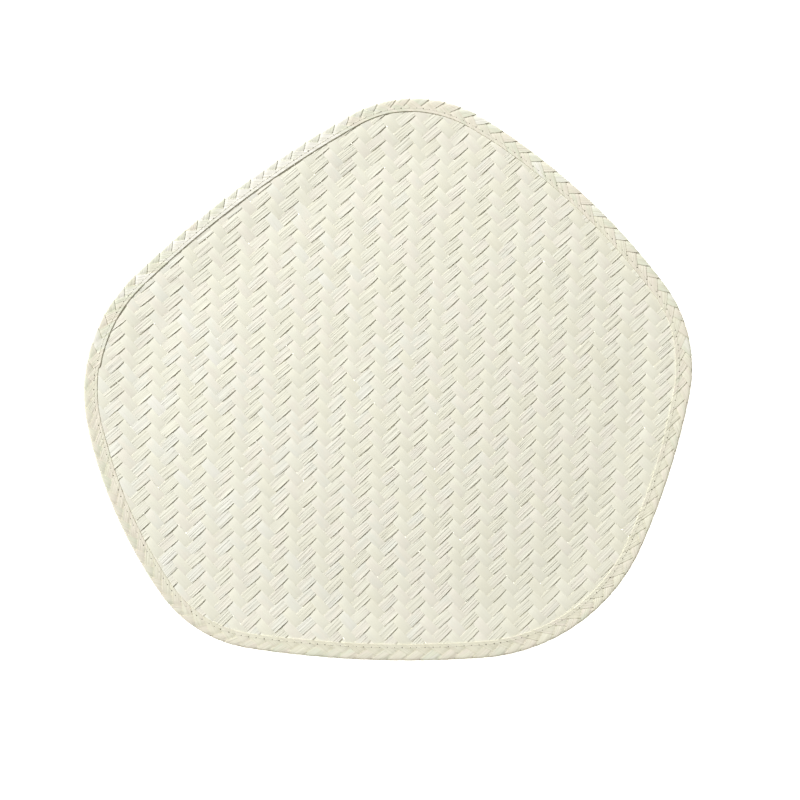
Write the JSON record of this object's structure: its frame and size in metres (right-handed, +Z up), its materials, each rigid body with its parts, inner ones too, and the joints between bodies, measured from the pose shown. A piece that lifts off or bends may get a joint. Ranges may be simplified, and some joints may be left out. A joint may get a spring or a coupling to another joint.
{
  "type": "placemat",
  "caption": "Flat five-cornered placemat of plaited palm leaf, with a narrow plaited tape folded over its edge and sewn round.",
  "frame": {"origin": "middle of the mat's outline, on the surface that it lies on", "axes": "+Z up out of the mat's face, +X along its widest extent, +Y towards its single top corner"},
  "size_m": [0.379, 0.3504, 0.0036],
  "materials": {
    "palm_leaf_weave": "flat strips of bleached palm leaf in a diagonal twill, cream, matt with a faint waxy sheen",
    "palm_leaf_tape": "narrow plaited tape of bleached palm leaf, folded and machine sewn, cream, matt"
  },
  "bodies": {
    "root": {"woven_field": "palm_leaf_weave", "edge_binding": "palm_leaf_tape"}
  },
  "joints": []
}
